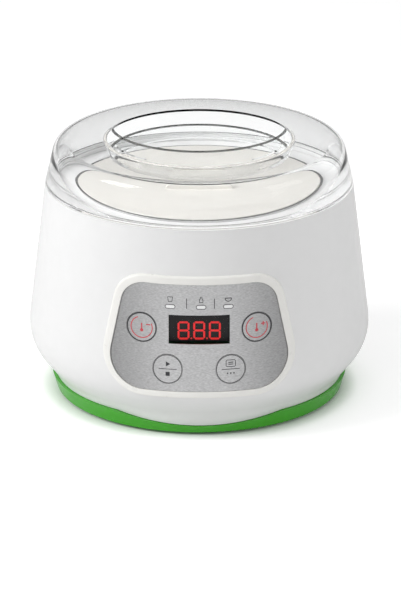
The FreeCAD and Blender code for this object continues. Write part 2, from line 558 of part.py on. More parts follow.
# push buttons: face flush with the panel, flange behind it, stem towards its switch
for name, (x, z) in BUTTONS.items():
    face = common(name + "_face", rod(name + "_bar", "button_radius", "pad_reach", (x, "0", z), "F"),
                  cone(name + "_face_cone", "button_rise"))
    collar = common(name + "_collar", rod(name + "_wide", "button_flange", "pad_reach", (x, "0", z), "F"),
                    cone(name + "_collar_cone", "flange_front"))
    head = cut(name + "_head", joined(name + "_block", face, collar), cone(name + "_back", "-flange_back"))
    stem = common(name + "_stem", rod(name + "_pin", "stem_radius", "pad_reach", (x, "-stem_tip", z), "F"),
                  cone(name + "_stem_cone", "0"))
    joined(name, head, stem)

# display module, lit segments and carrier
display_module = box("display_module", (
    "-display_width / 2", "-module_front", "display_z - display_height / 2"),
    ("display_width", "module_depth", "display_height"))
display_carrier = box("display_carrier", (
    "-carrier_width / 2", "-module_back", "display_z - carrier_height / 2"),
    ("carrier_width", "module_back - board_front", "carrier_height"))
segments = []
for digit in range(3):
    middle = "%d * digit_pitch" % (digit - 1)
    for level in (-1, 0, 1):
        segments.append(box("bar_%d_%d" % (digit, level + 1), (
            "%s - digit_width / 2 + digit_bar + digit_cut" % middle, "-module_front - digit_thick",
            "digit_z + %d * (digit_height - digit_bar) / 2 - digit_bar / 2" % level),
            ("digit_width - 2 * digit_bar - 2 * digit_cut", "digit_thick", "digit_bar")))
    for side in (-1, 1):
        for half in (-1, 1):
            segments.append(box("post_%d_%d_%d" % (digit, side + 1, half + 1), (
                "%s + %d * (digit_width - digit_bar) / 2 - digit_bar / 2" % (middle, side),
                "-module_front - digit_thick",
                "digit_z + (%d) * digit_height / 4 - (digit_height / 2 - 2 * digit_cut) / 2" % half),
                ("digit_bar", "digit_thick", "digit_height / 2 - 2 * digit_cut")))
segments += [rod("point_%d" % i, "point_radius", "digit_thick", (
    "%s digit_pitch / 2" % sign, "-module_front", "digit_z - digit_height / 2 + point_radius"), "F")
    for i, sign in enumerate("-+")]
display_digits = group("display_digits", segments)

# control board with switches and indicator chips
board = box("board_blank", ("-board_half", "-board_front", "board_low"),
            ("2 * board_half", "board_thick", "board_top - board_low"))
control_board = cut("control_board", board, *[
    rod("board_hole_%d" % i, "board_screw + hole_gap", "board_thick + 2", (x, "-board_back + 1", z), "F")
    for i, (x, z) in enumerate(POSTS)])
board_screws = group("board_screws", [joined("board_screw_%d" % i, rod(
    "board_shank_%d" % i, "board_screw", "shank_length", (x, "-board_back", z), "F"), rod(
    "board_head_%d" % i, "board_head", "board_head_height", (x, "-board_back + board_head_height", z), "F"))
    for i, (x, z) in enumerate(POSTS)])
tact_switches = group("tact_switches", [joined("switch_%d" % i, box("switch_body_%d" % i, (
    "%s - switch_side / 2" % x, "-board_front - switch_depth", "%s - switch_side / 2" % z),
    ("switch_side", "switch_depth", "switch_side")), rod(
    "switch_pin_%d" % i, "switch_pin", "switch_depth + switch_pin_rise", (x, "-board_front", z), "F"))
    for i, (x, z) in enumerate(BUTTONS.values())])
indicator_leds = group("indicator_leds", [box("led_%d" % i, (
    "%s - chip_width / 2" % x, "-board_front - chip_depth", "lens_z - chip_height / 2"),
    ("chip_width", "chip_depth", "chip_height")) for i, x in enumerate(LENSES)])

# power board and its parts
power_board = cut("power_board", box("power_blank", ("-power_half_x", "-power_half_y", "power_z"), (
    "2 * power_half_x", "2 * power_half_y", "board_thick")), *[
    rod("power_hole_%d" % i, "board_screw + hole_gap", "board_thick + 2", (x, y, "power_z - 1"))
    for i, (x, y) in enumerate(STANDS)])
power_screws = group("power_screws", [joined("power_screw_%d" % i, rod(
    "power_shank_%d" % i, "board_screw", "shank_length", (x, y, "power_top - shank_length")), rod(
    "power_head_%d" % i, "board_head", "board_head_height", (x, y, "power_top")))
    for i, (x, y) in enumerate(STANDS)])
transformer = box("transformer", ("-transformer_at - transformer_x / 2", "-transformer_y / 2", "power_top"),
                  ("transformer_x", "transformer_y", "transformer_height"))
relay = box("relay", ("relay_at - relay_x / 2", "row_gap - relay_y / 2", "power_top"),
            ("relay_x", "relay_y", "relay_height"))
capacitor = rod("capacitor", "cap_radius", "cap_height", ("relay_at", "-row_gap", "power_top"))
terminal_block = box("terminal_block", ("power_half_x - block_x - block_inset", "-block_y / 2", "power_top"),
                     ("block_x", "block_y", "block_height"))

# cord bush at the back
cord_bush = cut("cord_bush", joined(
    "bush_solid",
    rod("bush_face", "bush_flange", "bush_outer", ("0", "bush_seat + bush_outer", "bush_z"), "F"),
    rod("bush_neck_rod", "bush_neck", "bush_seat - bush_back + bush_inner",
        ("0", "bush_seat", "bush_z"), "F"),
    rod("bush_nut_rod", "bush_nut", "bush_inner", ("0", "bush_back", "bush_z"), "F")),
    rod("bush_bore_rod", "bush_bore", "pad_reach", ("0", "pad_reach", "bush_z"), "F"),
    rod("bush_throat_rod", "bush_throat", "pad_reach",
        ("0", "bush_seat + bush_outer - bush_lip", "bush_z"), "F"))

NODES = [
    "outer_shell", "base_tray", "feet", "base_screws", "well_liner", "heater_plate", "heating_element",
    "heater_clamp", "clamp_screws", "temperature_sensor", "thermal_fuse", "inner_pot", "pot_lid",
    "pot_lid_seal", "outer_lid", "lid_grip", "panel_bezel", "control_panel", "display_window",
    "display_module", "display_digits", "display_carrier", "indicator_lenses", "indicator_leds",
    "control_board", "tact_switches", "board_screws", "button_minus", "button_plus", "button_start",
    "button_menu", "power_board", "power_screws", "transformer", "relay", "capacitor", "terminal_block",
    "cord_bush"]
doc.recompute()
faults = [o.Label for o in doc.Objects if {"Invalid", "Error"} & set(o.State)]
os.makedirs("parts", exist_ok=True)
for node in NODES:
    shape = doc.getObjectsByLabel(node)[0].Shape
    if shape.isNull() or not shape.isValid() or not shape.Solids:
        faults.append(node)
if faults:
    raise RuntimeError("these features failed: " + ", ".join(faults))
for node in NODES:
    doc.getObjectsByLabel(node)[0].Shape.exportStep("parts/%s.step" % node)
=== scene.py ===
import json
import math

import bpy
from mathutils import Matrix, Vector


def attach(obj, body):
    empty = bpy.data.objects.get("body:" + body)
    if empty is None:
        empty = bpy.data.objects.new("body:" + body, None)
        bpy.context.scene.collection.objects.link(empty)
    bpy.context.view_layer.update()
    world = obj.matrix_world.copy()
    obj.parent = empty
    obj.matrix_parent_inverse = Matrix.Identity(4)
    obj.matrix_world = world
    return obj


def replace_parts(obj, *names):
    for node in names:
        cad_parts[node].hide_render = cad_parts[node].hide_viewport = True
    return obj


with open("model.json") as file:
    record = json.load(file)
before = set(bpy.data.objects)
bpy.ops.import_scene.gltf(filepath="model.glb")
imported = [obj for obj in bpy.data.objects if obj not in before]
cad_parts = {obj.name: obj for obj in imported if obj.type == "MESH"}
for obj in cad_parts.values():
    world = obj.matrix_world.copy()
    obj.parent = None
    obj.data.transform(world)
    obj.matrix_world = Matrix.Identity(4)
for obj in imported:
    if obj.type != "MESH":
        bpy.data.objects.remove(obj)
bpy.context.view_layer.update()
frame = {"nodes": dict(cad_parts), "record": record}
nodes = frame["nodes"]
scene = bpy.context.scene
MM = 0.001

# sizes shared with the CAD source, in millimetres
RIM_RADIUS, RIM_HEIGHT, WALL_SLOPE = 98.5, 138.5, 0.1228
BELLY_START, BELLY_FILLET = 49.7, 32
PANEL_TOP, PANEL_LOW, PANEL_TOP_HALF, PANEL_LOW_HALF = 104.8, 37.4, 45.8, 59.9
PANEL_TOP_ROUND, PANEL_LOW_ROUND, PANEL_RISE, PANEL_GAP = 15, 20, 1.7, 0.2
BEZEL_BAND, BEZEL_GROW, BEZEL_RISE = 5, 4, 2.6
KEYS = {"minus": (-35.7, 76.5), "plus": (35.7, 76.5), "start": (-19.6, 51.4), "menu": (19.6, 51.4)}
KEY_RADIUS, KEY_RISE = 9.2, 1.9
LENSES = [(-18, 91), (1.2, 91), (18, 91)]
LID_LOW, LID_HEIGHT, LID_SLOPE, LID_WALL = 138.7, 27.3, 0.24, 1.8
SHOULDER_SHARE, DISH_SHARE, MOUTH_SHARE, MOUTH_RISE, DISH_SLOPE = 0.33, 0.33, 0.599, 1.1, 0.289
MOUTH_FILLET, DISH_FILLET = 0.8, 0.6
LIP_RADIUS, LIP_WALL, LIP_DEPTH, LIP_BLEND = 95.5, 1.6, 1.5, 0.7
RIB_SHARE, RIB_OFF_SHARE, RIB_THICK, RIB_GAP = 0.961, 0.4866, 2, 0.6
DIGIT_Z, DIGIT_HEIGHT, DIGIT_WIDTH, DIGIT_PITCH = 74.7, 12, 7.4, 9.7
DIGIT_FACE, DIGIT_BACK = -103.5, -103.2

# part of a noise's range that colour and roughness follow, and the depth of a full bump in metres
NOISE_RANGE = (0.3, 0.7)
BUMP_DEPTH = 0.0002
WHITE = (1, 1, 1, 1)


def node(tree, kind, **values):
    """New shader node; a value goes to the input of its name, or else to the node's own setting."""
    made = tree.nodes.new(kind)
    for key, value in values.items():
        if key in made.inputs:
            made.inputs[key].default_value = value
        else:
            setattr(made, key, value)
    return made


def maths(tree, operation, *values):
    """Output of a Math node whose inputs are numbers or the outputs of other nodes."""
    made = node(tree, "ShaderNodeMath", operation=operation)
    for socket, value in zip(made.inputs, values):
        if isinstance(value, bpy.types.NodeSocket):
            tree.links.new(value, socket)
        else:
            socket.default_value = value
    return made.outputs[0]


def map_range(tree, source, start, end, **values):
    """Output of a Map Range node that takes the source from the start range to the end range."""
    made = node(tree, "ShaderNodeMapRange", **values)
    for key, value in zip(("From Min", "From Max", "To Min", "To Max"), (*start, *end)):
        made.inputs[key].default_value = value
    tree.links.new(source, made.inputs["Value"])
    return made.outputs["Result"]


def colour_ramp(tree, source, stops):
    """Output of a colour ramp through stops of position and colour, in rising order."""
    made = node(tree, "ShaderNodeValToRGB")
    elements = made.color_ramp.elements
    elements[0].position, elements[1].position = stops[0][0], stops[-1][0]
    for position, _ in stops[1:-1]:
        elements.new(position)
    for element, (_, colour) in zip(elements, stops):
        element.color = (*colour, 1)
    tree.links.new(source, made.inputs["Fac"])
    return made.outputs["Color"]


def multiplied(tree, first, second):
    """Output of two colours multiplied."""
    made = node(tree, "ShaderNodeMixRGB", blend_type="MULTIPLY", Fac=1)
    tree.links.new(first, made.inputs["Color1"])
    tree.links.new(second, made.inputs["Color2"])
    return made.outputs["Color"]


def surface(name, colour, rough, scale=120, spread=0.03, wander=0.04, stretch=(1, 1, 1), bump=0, fade=None,
            **sockets):
    """Principled surface whose colour and roughness wander with a noise in the object's own space.

    The painted side shade dims the colour towards the left and right sides as painted shade: it starts and ends at two
    distances from the middle, in metres, and leaves a share of the colour.
    """
    made = bpy.data.materials.new(name)
    made.use_nodes = True
    tree = made.node_tree
    link = tree.links.new
    shader = tree.nodes["Principled BSDF"]
    coords = node(tree, "ShaderNodeTexCoord")
    mapping = node(tree, "ShaderNodeMapping", Scale=stretch)
    noise = node(tree, "ShaderNodeTexNoise", Scale=scale, Detail=4)
    link(coords.outputs["Object"], mapping.inputs["Vector"])
    link(mapping.outputs["Vector"], noise.inputs["Vector"])
    cloud = noise.outputs["Fac"]
    tones = ([min(1, c * (1 + sign * spread)) for c in colour] for sign in (-1, 1))
    shade = colour_ramp(tree, cloud, list(zip(NOISE_RANGE, tones)))
    # painted shade: the colour darkens towards the left and right sides
    if fade:
        start, end, left = fade
        axes = node(tree, "ShaderNodeSeparateXYZ")
        link(coords.outputs["Object"], axes.inputs[0])
        away = maths(tree, "ABSOLUTE", axes.outputs["X"])
        dim = map_range(tree, away, (start, end), (1, left), interpolation_type="SMOOTHSTEP")
        shade = multiplied(tree, shade, dim)
    link(shade, shader.inputs["Base Color"])
    gloss = map_range(tree, cloud, NOISE_RANGE, (max(0, rough - wander), rough + wander))
    link(gloss, shader.inputs["Roughness"])
    if bump:
        relief = node(tree, "ShaderNodeBump", Strength=bump, Distance=BUMP_DEPTH)
        link(cloud, relief.inputs["Height"])
        link(relief.outputs["Normal"], shader.inputs["Normal"])
    for socket, value in sockets.items():
        shader.inputs[socket.replace("_", " ")].default_value = value
    return made


def clear(name, colour, ior, rough=0.012, spread=0.004, wander=0.006):
    """See-through plastic that takes the tint of its colour."""
    return surface(name, colour, rough, spread=spread, wander=wander, Transmission_Weight=1.0, IOR=ior)


# brushed metal: fine grain along the panel, with painted shade that darkens it towards its two sides
GRAIN_AND_SIDE_SHADE = dict(scale=1, stretch=(600, 600, 2600), spread=0.2, wander=0.05, fade=(0.012, 0.06, 0.56), Metallic=0.85)
# how far the lid, its thin walls and its edges, which are painted dark as painted shade, bend light
LID_IOR, THIN_IOR, EDGE_IOR = 1.24, 1.02, 1.15
LOOKS = {
    "white": surface("white_plastic", (0.83, 0.83, 0.83), 0.25, spread=0.008, wander=0.02,
                     Specular_IOR_Level=0.2),
    "green": surface("green_plastic", (0.05, 0.385, 0.014), 0.26, scale=300, spread=0.025, wander=0.01),
    "rubber": surface("foot_rubber", (0.03, 0.03, 0.03), 0.75, scale=900, spread=0.2, bump=0.2),
    "steel": surface("screw_steel", (0.5, 0.5, 0.5), 0.3, scale=600, Metallic=1.0),
    "aluminium": surface("heater_aluminium", (0.72, 0.72, 0.73), 0.35, scale=500, spread=0.06, Metallic=1.0),
    "mica": surface("heater_mica", (0.42, 0.3, 0.17), 0.6, scale=400, spread=0.2),
    "sensor": surface("sensor_can", (0.6, 0.6, 0.6), 0.3, scale=500, Metallic=1.0),
    "pot_steel": surface("pot_steel", (0.62, 0.62, 0.62), 0.24, scale=1, stretch=(40, 40, 1500), spread=0.06,
                         Metallic=1.0),
    "cream": surface("pot_lid_cream", (0.76, 0.742, 0.705), 0.4, spread=0.015),
    "silicone": surface("seal_silicone", (0.7, 0.7, 0.68), 0.5, scale=300),
    "clear": clear("clear_plastic", (0.935, 0.938, 0.938), LID_IOR),
    "bezel": surface("bezel_plastic", (0.87, 0.862, 0.83), 0.3, spread=0.012, wander=0.03),
    "brushed": surface("panel_brushed_side_shaded", (0.585, 0.585, 0.59), 0.4, **GRAIN_AND_SIDE_SHADE),
    "smoked": surface("smoked_window", (0.016, 0.016, 0.017), 0.25, spread=0.05, wander=0.02, Alpha=0.05,
                      Specular_IOR_Level=0.0),
    "black": surface("black_plastic", (0.026, 0.026, 0.027), 0.4, spread=0.06, wander=0.02,
                     Specular_IOR_Level=0.25),
    "red": surface("lit_segment", (0.5, 0.02, 0.02), 0.4, scale=500, spread=0.08,
                   Emission_Color=(1, 0.03, 0.03, 1), Emission_Strength=0.5),
    "lens": surface("frosted_lens", (0.9, 0.9, 0.9), 0.35, scale=500, spread=0.02),
    "board": surface("circuit_board", (0.02, 0.15, 0.05), 0.4, scale=500, spread=0.2),
    "key": surface("key_brushed_side_shaded", (0.605, 0.605, 0.61), 0.39, **GRAIN_AND_SIDE_SHADE),
    "transformer": surface("winding_tape", (0.6, 0.45, 0.05), 0.45, scale=300, spread=0.1),
    "relay": surface("relay_blue", (0.02, 0.09, 0.3), 0.35, scale=300, spread=0.1),
    "terminal": surface("terminal_green", (0.03, 0.2, 0.06), 0.45, scale=300, spread=0.1),
    "bush": surface("bush_rubber", (0.6, 0.6, 0.59), 0.5, scale=500, spread=0.04),
}
RIB_WEB = clear("clear_web", (0.985, 0.99, 0.99), THIN_IOR)
DISH_WALL = clear("clear_dish", (0.95, 0.955, 0.955), THIN_IOR)
# painted shade: the ring round the lid's mouth is dark grey, so that it draws a dark line
MOUTH_EDGE = clear("lid_ring_painted_shade", (0.4, 0.405, 0.405), EDGE_IOR, rough=0.02, spread=0.02, wander=0.01)
# painted shade: the ribs' round tops are near black, so that they draw dark lines
RIB_TOP = clear("rib_edge_painted_shade", (0.07, 0.072, 0.072), EDGE_IOR, rough=0.02, spread=0.05, wander=0.01)
INK = surface("dark_ink", (0.035, 0.035, 0.04), 0.5, scale=800, spread=0.2)
RED_INK = surface("red_ink", (0.62, 0.07, 0.09), 0.5, scale=800, spread=0.1)
# the segments glow without being sampled as lamps, which keeps the window free of noise
LOOKS["red"].cycles.emission_sampling = "NONE"

for entry in frame["record"]["subparts"]:
    mesh = nodes[entry["node"]].data
    mesh.materials.clear()
    mesh.materials.append(LOOKS[entry["material_slot"]])


def piece(name, verts, faces, look, body, slot=None, smooth=True):
    """Mesh object, given in millimetres, that rides on a CAD body."""
    mesh = bpy.data.meshes.new(name)
    mesh.from_pydata([Vector(v) * MM for v in verts], [], faces)
    mesh.materials.append(look)
    if smooth:
        mesh.polygons.foreach_set("use_smooth", [True] * len(mesh.polygons))
    mesh.update()
    obj = bpy.data.objects.new(name, mesh)
    scene.collection.objects.link(obj)
    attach(obj, body)
    return obj


def corners_of(obj, face):
    """Corners of an object's face, in millimetres."""
    return [obj.data.vertices[v].co / MM for v in face.vertices]


def sweep(degrees, steps):
    """Angles from zero to a number of degrees, in radians."""
    return [math.radians(degrees * k / steps) for k in range(steps + 1)]


def rounded(corners, steps=8):
    """Closed loop through corners of x, y and radius, each turned into an arc unless its radius is 0."""
    out = []
    spots = [Vector(corner[:2]) for corner in corners]
    for i, here in enumerate(spots):
        radius = corners[i][2]
        if not radius:
            out.append(here)
            continue
        back = (spots[i - 1] - here).normalized()
        ahead = (spots[(i + 1) % len(spots)] - here).normalized()
        half = back.angle(ahead) / 2
        middle = here + (back + ahead).normalized() * (radius / math.sin(half))
        tangent = radius / math.tan(half)
        start = here + back * tangent - middle
        turn = start.angle_signed(here + ahead * tangent - middle)
        for k in range(steps + 1):
            a = -turn * k / steps
            out.append(middle + Vector((start.x * math.cos(a) - start.y * math.sin(a),
                                        start.x * math.sin(a) + start.y * math.cos(a))))
    return out


def lathe(profile, turns):
    """Profile swept round Z; points on the axis become single vertices."""
    verts, rings = [], []
    around = sweep(360, turns)[:-1]
    for r, z in profile:
        if r == 0:
            rings.append([len(verts)] * turns)
            verts.append((0, 0, z))
        else:
            rings.append(list(range(len(verts), len(verts) + turns)))
            verts += [(r * math.cos(a), r * math.sin(a), z) for a in around]
    faces = []
    for a, b in zip(rings, rings[1:]):
        for k in range(turns):
            n = (k + 1) % turns
            quad = [a[k], b[k], b[n], a[n]]
            faces.append([v for i, v in enumerate(quad) if v != quad[i - 1]])
    return verts, faces


# clear lid, finer than the CAD mesh so that it bends light evenly, with softened rim and lip
LID_TURNS = 192
RIM_SOFT, LIP_SOFT = 0.5, 0.4
LID_TOP, SHOULDER_FILLET = LID_LOW + LID_HEIGHT, SHOULDER_SHARE * LID_HEIGHT
MOUTH, MOUTH_Z = MOUTH_SHARE * RIM_RADIUS, LID_TOP + MOUTH_RISE
DISH_DEPTH = DISH_SHARE * LID_HEIGHT
DISH, DISH_Z = MOUTH - DISH_SLOPE * DISH_DEPTH, MOUTH_Z - DISH_DEPTH
LEAN = LID_WALL * math.sqrt(1 + LID_SLOPE ** 2)
SHOULDER = RIM_RADIUS - LID_SLOPE * LID_HEIGHT
SHOULDER_IN = SHOULDER + LID_SLOPE * LID_WALL - LEAN
lid_profile = rounded([
    (0, DISH_Z, 0),
    (DISH, DISH_Z, DISH_FILLET),
    (MOUTH, MOUTH_Z, MOUTH_FILLET),
    (SHOULDER, LID_TOP, SHOULDER_FILLET),
    (RIM_RADIUS, LID_LOW, RIM_SOFT),
    (LIP_RADIUS, LID_LOW, 0),
    (LIP_RADIUS, LID_LOW - LIP_DEPTH, LIP_SOFT),
    (LIP_RADIUS - LIP_WALL, LID_LOW - LIP_DEPTH, LIP_SOFT),
    (LIP_RADIUS - LIP_WALL, LID_LOW + LIP_BLEND, 0),
    (RIM_RADIUS - LEAN - LID_SLOPE * LIP_BLEND * 2, LID_LOW + LIP_BLEND * 2, 0),
    (SHOULDER_IN, LID_TOP - LID_WALL, SHOULDER_FILLET - LID_WALL),
    (MOUTH + LID_WALL, MOUTH_Z - LID_WALL, MOUTH_FILLET),
    (DISH + LID_WALL, DISH_Z - LID_WALL, DISH_FILLET + LID_WALL),
    (0, DISH_Z - LID_WALL, 0)])
clear_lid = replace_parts(piece("clear_lid", *lathe(lid_profile, LID_TURNS), LOOKS["clear"], "cover", "clear"),
                        "outer_lid")
# light passes through the lid and its ribs, so they cast no shadow
clear_lid.visible_shadow = False
# below its mouth the thin dish hardly bends light, and the mouth's round edge is coloured grey, painted shade that
# draws a dark line round the mouth
DISH_FROM, EDGE_DOWN_TO, EDGE_WIDTH = 1.2, 0.75, 1
clear_lid.data.materials.append(DISH_WALL)
clear_lid.data.materials.append(MOUTH_EDGE)
for face in clear_lid.data.polygons:
    spots = corners_of(clear_lid, face)
    reach = max(s.xy.length for s in spots)
    if reach < MOUTH + LID_WALL and max(s.z for s in spots) < MOUTH_Z - DISH_FROM:
        face.material_index = 1
    elif reach < MOUTH + EDGE_WIDTH and min(s.z for s in spots) > MOUTH_Z - EDGE_DOWN_TO:
        face.material_index = 2


# grip in the dish: two crossing ribs with round tops, rooted in the dish's floor
RIB_STEPS, RIB_TOP_STEPS, RIB_ROOT = 72, 12, 0.5


def crossing_ribs():
    """Verts and faces of the two ribs."""
    radius, offset, half = RIB_SHARE * MOUTH, RIB_OFF_SHARE * MOUTH, RIB_THICK / 2
    section = [(-half, -RIB_ROOT)]
    section += [(-half * math.cos(a), DISH_DEPTH - half * (1 - math.sin(a))) for a in sweep(180, RIB_TOP_STEPS)]
    section += [(half, -RIB_ROOT)]
    size = len(section)
    verts, faces = [], []
    for side in (1, -1):
        first = len(verts)
        last = first + RIB_STEPS * size
        for k in range(RIB_STEPS + 1):
            for across, up in section:
                # the rib ends where its circle comes near the dish's sloping wall
                r = radius + across
                wall = DISH - RIB_GAP + up * (MOUTH - DISH) / DISH_DEPTH
                reach = math.acos((r ** 2 + offset ** 2 - wall ** 2) / (2 * r * offset))
                turn = reach * (2 * k / RIB_STEPS - 1)
                verts.append((r * math.sin(turn), side * (offset - r * math.cos(turn)), DISH_Z + up))
        for a in range(first, last, size):
            b = a + size
            faces += [[a + i, b + i, b + (i + 1) % size, a + (i + 1) % size][::-side] for i in range(size)]
        faces += [list(range(first, first + size))[::side], list(range(last, last + size))[::-side]]
    return verts, faces


# the ribs' round tops take the near-black painted shade
grip_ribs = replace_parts(piece("grip_ribs", *crossing_ribs(), RIB_TOP, "cover", "clear", False), "lid_grip")
grip_ribs.visible_shadow = False
# the thin webs under the round tops hardly bend light
grip_ribs.data.materials.append(RIB_WEB)
for face in grip_ribs.data.polygons:
    rooted = min(s.z for s in corners_of(grip_ribs, face)) < DISH_Z
    face.material_index = 1 if rooted else 0


def on_cone(x, z, rise):
    """Point on the front of the shell's cone, raised from it."""
    r = RIM_RADIUS + WALL_SLOPE * (RIM_HEIGHT - z) + rise
    return x, -math.sqrt(r * r - x * x), z


def panel_outline(grow, low, top, steps=16):
    """Rounded trapezium of the panel, grown sideways, with its sides split so that they follow the cone."""
    slope = (PANEL_LOW_HALF - PANEL_TOP_HALF) / (PANEL_TOP - PANEL_LOW)
    low_half = PANEL_LOW_HALF + grow + slope * (PANEL_LOW - low)
    top_half = PANEL_TOP_HALF + grow - slope * (top - PANEL_TOP)
    low_round, top_round = PANEL_LOW_ROUND + grow, PANEL_TOP_ROUND + grow
    loop = rounded([(-low_half, low, low_round), (low_half, low, low_round), (top_half, top, top_round),
                    (-top_half, top, top_round)], steps)
    out = []
    for i, spot in enumerate(loop):
        ahead = loop[(i + 1) % len(loop)]
        straight = i % (steps + 1) == steps
        parts = steps * 2 if straight else 1
        out += [spot.lerp(ahead, k / parts) for k in range(parts)]
    return out


# bezel with softened edges: a profile carried round the panel from its outer edge to its inner edge
OUTER_SOFT, INNER_SOFT, SOFT_STEPS = 1.1, 0.5, 6
BEZEL_SINK, BEZEL_TUCK = 0.6, 0.5
# the outer edge follows the belly with a radius just under its fillet, so that no gap opens
SEAT_RADIUS = BELLY_FILLET - 1


def bezel_band():
    """Verts and faces of the bezel."""
    outer = panel_outline(BEZEL_BAND, PANEL_LOW - BEZEL_GROW, PANEL_TOP + BEZEL_BAND)
    inner = panel_outline(PANEL_GAP, PANEL_LOW - PANEL_GAP, PANEL_TOP + PANEL_GAP)
    band = BEZEL_BAND - PANEL_GAP
    quarter = sweep(90, SOFT_STEPS)
    edge = [(OUTER_SOFT * (1 - math.cos(a)), BEZEL_RISE - OUTER_SOFT * (1 - math.sin(a))) for a in quarter]
    edge += [(band - INNER_SOFT * (1 - math.sin(a)), BEZEL_RISE - INNER_SOFT * (1 - math.cos(a))) for a in quarter]
    edge += [(band, PANEL_RISE - BEZEL_TUCK)]
    size = len(edge) + 1
    verts, faces = [], []
    for outside, inside in zip(outer, inner):
        # the outer edge sinks into the shell, also where the belly falls away from the cone
        drop = max(0, BELLY_START - outside.y)
        verts.append(on_cone(outside.x, outside.y, -BEZEL_SINK - drop ** 2 / (2 * SEAT_RADIUS)))
        for across, rise in edge:
            spot = outside.lerp(inside, across / band)
            verts.append(on_cone(spot.x, spot.y, rise))
    for i in range(len(outer)):
        a, b = i * size, (i + 1) % len(outer) * size
        faces += [[a + k, b + k, b + k + 1, a + k + 1] for k in range(size - 1)]
    return verts, faces


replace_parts(piece("soft_bezel", *bezel_band(), LOOKS["bezel"], "housing", "bezel"), "panel_bezel")


def stroke(path, width, closed=False):
    """Flat strip of even width along a path in the panel's X and Z."""
    points = [Vector(p) for p in path]
    count = len(points)
    verts = []
    for i, p in enumerate(points):
        before = points[i - 1] if closed or i else p
        after = points[(i + 1) % count] if closed or i + 1 < count else p
        along = (after - before).normalized()
        side = Vector((-along.y, along.x)) * (width / 2)
        verts += [p + side, p - side]
    faces = [[2 * i, 2 * i + 1, (2 * i + 3) % (2 * count), (2 * i + 2) % (2 * count)]
             for i in range(count if closed else count - 1)]
    return verts, faces


def arc(x, z, radius, start=0, end=360, steps=48):
    """Points on an arc in degrees; a full circle does not repeat its first point."""
    count = steps if end - start == 360 else steps + 1
    angles = [math.radians(start + (end - start) * k / steps) for k in range(count)]
    return [(x + radius * math.cos(a), z + radius * math.sin(a)) for a in angles]


def pill(x, z, width, height, steps=12):
    """Outline with round ends."""
    half, r = (width - height) / 2, height / 2
    return arc(x + half, z, r, -90, 90, steps) + arc(x - half, z, r, 90, 270, steps)


def line(start, end, width, steps=8):
    """Straight strip, split so that it follows the cone."""
    a, b = Vector(start), Vector(end)
    return stroke([a.lerp(b, k / steps) for k in range(steps + 1)], width)


def moved(points, x, z):
    """Outline with its origin put at a place."""
    return [(x + px, z + pz) for px, pz in points]


def square(x, z, half_x, half_z, cut):
    """Rectangle with cut corners."""
    in_x, in_z = half_x - cut, half_z - cut
    return moved([(-in_x, -half_z), (in_x, -half_z), (half_x, -in_z), (half_x, in_z),
                  (in_x, half_z), (-in_x, half_z), (-half_x, in_z), (-half_x, -in_z)], x, z)


def filled(points):
    """Flat face inside an outline."""
    return [Vector(p) for p in points], [list(range(len(points)))]


def printed(name, shapes, look, rise, body, centre=(0, 0)):
    """Print on the panel's cone or on a key's face, lifted just clear of it."""
    verts, faces = [], []
    for spots, loops in shapes:
        faces += [[v + len(verts) for v in loop] for loop in loops]
        verts += [on_cone(x, z, rise + PRINT_LIFT) for x, z in moved(spots, *centre)]
    return piece(name, verts, faces, look, body, smooth=False)


# printed marks in millimetres, those of a key from its middle: rings, signs and plain pictograms
PRINT_LIFT = 0.06
BOLD_RING, FINE_LINE, ROW_LINE = 0.62, 0.42, 0.55
RING_INSET, RING_STEPS = 0.35, 72
SIGN_X, SIGN_Z, SIGN_HALF, SIGN_LINE = 4, 1.9, 1.3, 0.7
# an open arc round a thermometer
THERMOMETER = [stroke(arc(0, 0, 6.6, 110, 385, 60), 0.6), filled(arc(0, -1.8, 1.05, steps=20)),
               line((0, -1), (0, 2.6), 0.8)]
MINUS = [line((SIGN_X - SIGN_HALF, SIGN_Z), (SIGN_X + SIGN_HALF, SIGN_Z), SIGN_LINE)]
PLUS = MINUS + [line((SIGN_X, SIGN_Z + SIGN_LINE / 2), (SIGN_X, SIGN_Z + SIGN_HALF), SIGN_LINE),
                line((SIGN_X, SIGN_Z - SIGN_HALF), (SIGN_X, SIGN_Z - SIGN_LINE / 2), SIGN_LINE)]
DIVIDER = [line((-5.6, 0), (5.6, 0), FINE_LINE)]
# a triangle over a square, and a screen with two rows over three dots
START = [filled([(-1.1, 1.6), (1.7, 3.2), (-1.1, 4.8)]), filled(square(0, -3.1, 1.3, 1.3, 0.2))]
MENU = [stroke(square(0, 3.7, 2.9, 2.1, 0.5), FINE_LINE, True)]
MENU += [line((-1.5, z), (1.5, z), ROW_LINE) for z in (4.3, 3.1)]
MENU += [filled(arc(x, -2.6, 0.5, steps=14)) for x in (-2, 0, 2)]
KEY_MARKS = {"minus": THERMOMETER + MINUS, "plus": THERMOMETER + PLUS, "start": DIVIDER + START,
             "menu": DIVIDER + MENU}
for name, centre in KEYS.items():
    body = "key_" + name
    upper = name in ("minus", "plus")
    ring = [stroke(arc(0, 0, KEY_RADIUS - RING_INSET, steps=RING_STEPS), BOLD_RING if upper else FINE_LINE, True)]
    if upper:
        printed("ring_" + name, ring, INK, KEY_RISE, body, centre)
        printed("mark_" + name, KEY_MARKS[name], RED_INK, KEY_RISE, body, centre)
    else:
        printed("mark_" + name, ring + KEY_MARKS[name], INK, KEY_RISE, body, centre)

